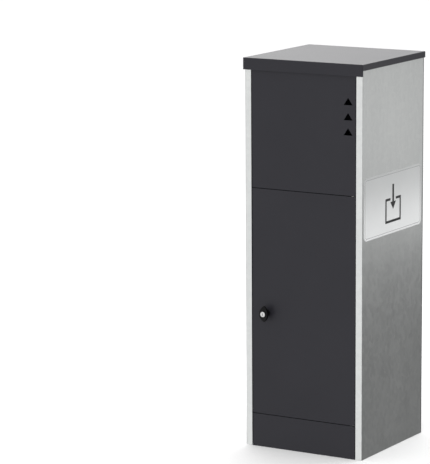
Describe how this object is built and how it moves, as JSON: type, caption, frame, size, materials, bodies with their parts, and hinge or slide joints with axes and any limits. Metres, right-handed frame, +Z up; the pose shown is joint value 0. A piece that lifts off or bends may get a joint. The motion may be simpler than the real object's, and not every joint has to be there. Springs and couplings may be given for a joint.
{
  "type": "parcel drop box",
  "caption": "Free-standing sheet-metal parcel drop box with a rear-hinged top lid, a letter shaft and a lockable front collection door with a mail holder.",
  "frame": {"origin": "floor level, centre of the body footprint and of the floor anchor holes", "axes": "+X to the right seen from the front, -Y towards the person at the door, +Z up"},
  "size_m": [0.392, 0.4158, 1.15],
  "materials": {
    "galvanised_sheet": "bright spangled zinc",
    "dark_coat": "fine textured anthracite powder coat",
    "zinc_hardware": "zinc plated",
    "yellow_zinc": "yellow passivated zinc",
    "lock_steel": "polished nickel",
    "black_plastic": "black moulded",
    "bush_plastic": "acetal",
    "black_rubber": "matte",
    "label_plate": "satin white silver",
    "label_ink": "black symbol"
  },
  "bodies": {
    "cabinet": {"side_panel_left": "galvanised_sheet", "side_panel_right": "galvanised_sheet", "back_panel": "dark_coat", "upper_front_panel": "dark_coat", "plinth_panel": "dark_coat", "base_frame": "dark_coat", "floor_plate": "dark_coat", "corner_post_left": "dark_coat", "corner_post_right": "dark_coat", "top_frame": "dark_coat", "letter_partition": "dark_coat", "side_panel_studs": "zinc_hardware", "stud_nuts": "zinc_hardware", "back_panel_rivets": "zinc_hardware", "panel_screws": "zinc_hardware", "panel_press_nuts": "zinc_hardware", "floor_plate_screws": "zinc_hardware", "lid_rest_pads": "black_rubber", "lid_hinge_body_leaves": "dark_coat", "lid_hinge_pins": "zinc_hardware", "lid_hinge_rivets": "zinc_hardware", "door_hinge_bracket_top": "zinc_hardware", "door_hinge_bracket_bottom": "zinc_hardware", "hinge_bracket_rivets": "zinc_hardware", "door_hinge_pins": "zinc_hardware", "door_buffers": "black_rubber", "lock_catch": "dark_coat", "lock_catch_rivets": "zinc_hardware", "side_badge_plate": "label_plate", "badge_pictogram": "label_ink"},
    "lid": {"lid_cover": "dark_coat", "lid_hinge_leaves": "dark_coat", "lid_weld_studs": "zinc_hardware", "lid_hinge_nuts": "zinc_hardware"},
    "door": {"door_panel": "dark_coat", "door_hinge_bushes": "bush_plastic", "mail_holder": "dark_coat", "door_weld_studs": "zinc_hardware", "mail_holder_nuts": "zinc_hardware", "lock_housing": "black_plastic", "lock_nut": "zinc_hardware"},
    "knob": {"lock_knob": "black_plastic", "lock_spindle": "zinc_hardware", "lock_cam": "yellow_zinc", "cam_screw": "zinc_hardware"},
    "lock_cylinder": {"lock_core": "lock_steel"}
  },
  "joints": [
    {"name": "lid_hinge", "type": "hinge", "parent": "cabinet", "child": "lid", "pos_m": [0, 0.19355, 1.1375], "axis": [-1, 0, 0], "range_deg": [0, 99]},
    {"name": "door_hinge", "type": "hinge", "parent": "cabinet", "child": "door", "pos_m": [0.1595, -0.181, 0.435], "axis": [0, 0, 1], "range_deg": [0, 105]},
    {"name": "knob_turn", "type": "hinge", "parent": "door", "child": "knob", "pos_m": [-0.12, -0.19, 0.404], "axis": [0, -1, 0], "range_deg": [0, 90]},
    {"name": "key_turn", "type": "hinge", "parent": "knob", "child": "lock_cylinder", "pos_m": [-0.12, -0.21, 0.404], "axis": [0, -1, 0], "range_deg": [0, 90]}
  ]
}
